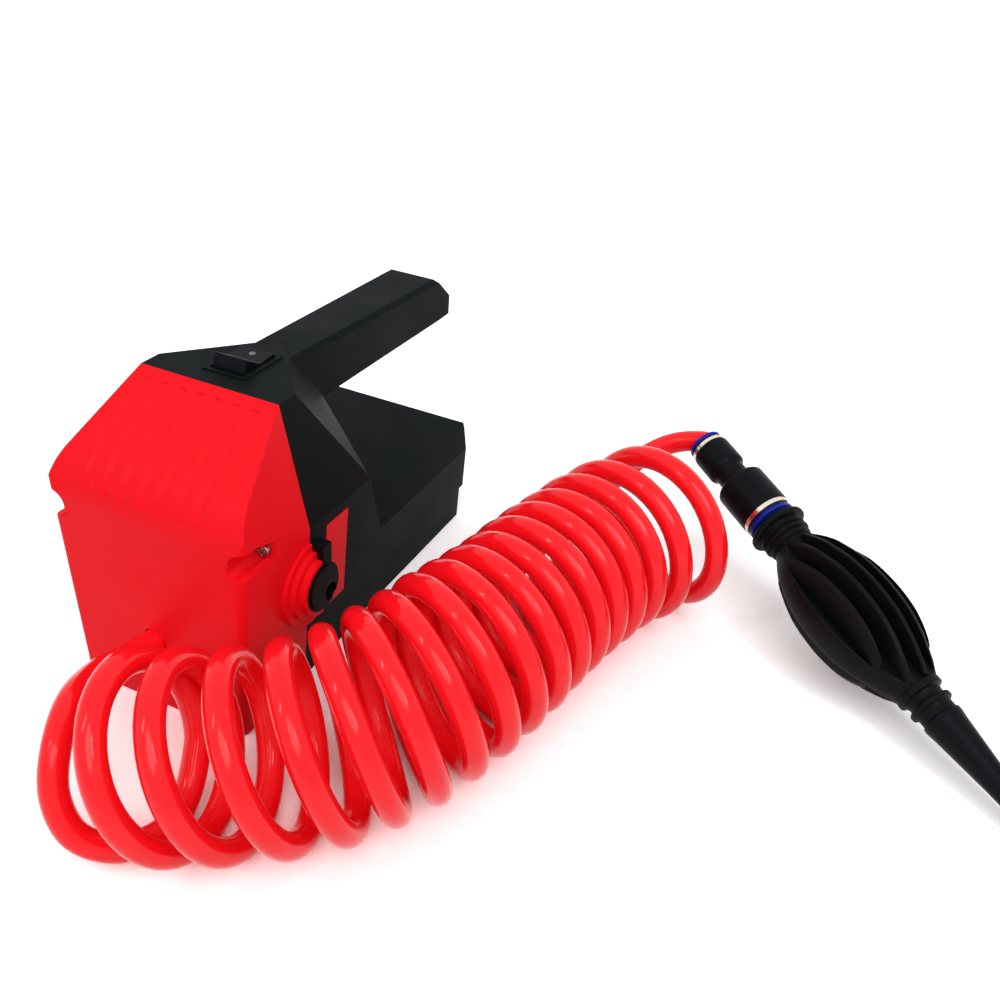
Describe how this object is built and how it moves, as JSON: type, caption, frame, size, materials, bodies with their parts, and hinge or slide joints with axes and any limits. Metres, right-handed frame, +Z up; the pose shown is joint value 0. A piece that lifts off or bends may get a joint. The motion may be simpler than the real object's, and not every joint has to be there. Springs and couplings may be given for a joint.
{
  "type": "car dryer blower",
  "caption": "Handled blower unit with a coiled red air hose, push-in union and ribbed rubber handpiece with a tapered nozzle.",
  "frame": {"origin": "on the underside, at the middle of the parting line between the red cover and the black body", "axes": "+Z up, -Y toward the grooved front cover, +X toward the side port and the coiled hose"},
  "size_m": [0.4573, 0.3629, 0.1546],
  "materials": {
    "board_green": "solder-masked board",
    "brass": "turned brass",
    "cell_blue": "shrink-wrapped cell",
    "collar_blue": "blue release collar",
    "copper": "enamelled copper winding",
    "cover_red": "moulded red shell, satin gloss",
    "foam_grey": "open foam",
    "gloss_black": "gloss black moulding",
    "grey_plastic": "grey moulding",
    "hose_red": "clear-red glossy polyurethane tube",
    "nickel": "nickel-plated ring",
    "pale": "pale nylon",
    "rubber_black": "black rubber",
    "shell_black": "fine-textured black shell",
    "steel": "zinc-plated steel"
  },
  "bodies": {
    "housing": {"front_cover": "cover_red", "rear_body": "shell_black", "base_tray": "shell_black", "switch_bezel": "shell_black", "switch_body": "gloss_black", "switch_terminals": "brass", "port_bush": "rubber_black", "side_label": "cover_red", "cover_screws": "steel", "cover_nuts": "steel", "feet": "rubber_black", "volute_housing": "shell_black", "volute_back": "shell_black", "volute_screws": "steel", "motor_can": "steel", "motor_magnets": "grey_plastic", "motor_end_bell": "gloss_black", "motor_bushes": "brass", "motor_brushes": "copper", "motor_screws": "steel", "outlet_nipple": "brass", "outlet_seal": "rubber_black", "intake_filter": "foam_grey", "filter_frame": "shell_black", "battery_cells": "cell_blue", "cell_holders": "gloss_black", "cell_straps": "nickel", "control_board": "board_green", "board_posts": "steel", "capacitors": "gloss_black", "heat_sink": "steel", "power_wires": "gloss_black", "hose_coil": "hose_red", "union_body": "gloss_black", "union_rings": "nickel", "grab_rings": "steel", "seal_rings": "rubber_black", "stem_pipe": "grey_plastic", "bulb_grip": "rubber_black", "nozzle": "gloss_black"},
    "rocker": {"rocker": "gloss_black", "rocker_mark": "pale"},
    "rotor": {"motor_shaft": "steel", "motor_armature": "copper", "commutator": "brass", "impeller": "pale"},
    "hose_release": {"hose_collar": "collar_blue"},
    "grip_release": {"grip_collar": "collar_blue"}
  },
  "joints": [
    {"name": "rocker_hinge", "type": "hinge", "parent": "housing", "child": "rocker", "pos_m": [0, 0.025, 0.145], "axis": [1, 0, 0], "range_deg": [0, 24]},
    {"name": "rotor_spin", "type": "hinge", "parent": "housing", "child": "rotor", "pos_m": [0, 0, 0.084], "axis": [0, 1, 0], "continuous": true},
    {"name": "hose_release_press", "type": "slide", "parent": "housing", "child": "hose_release", "axis": [0.7899, -0.5635, -0.2419], "range_m": [0, 0.0012], "stiffness_N_per_m": 300},
    {"name": "grip_release_press", "type": "slide", "parent": "housing", "child": "grip_release", "axis": [-0.7899, 0.5635, 0.2419], "range_m": [0, 0.0012], "stiffness_N_per_m": 300}
  ]
}
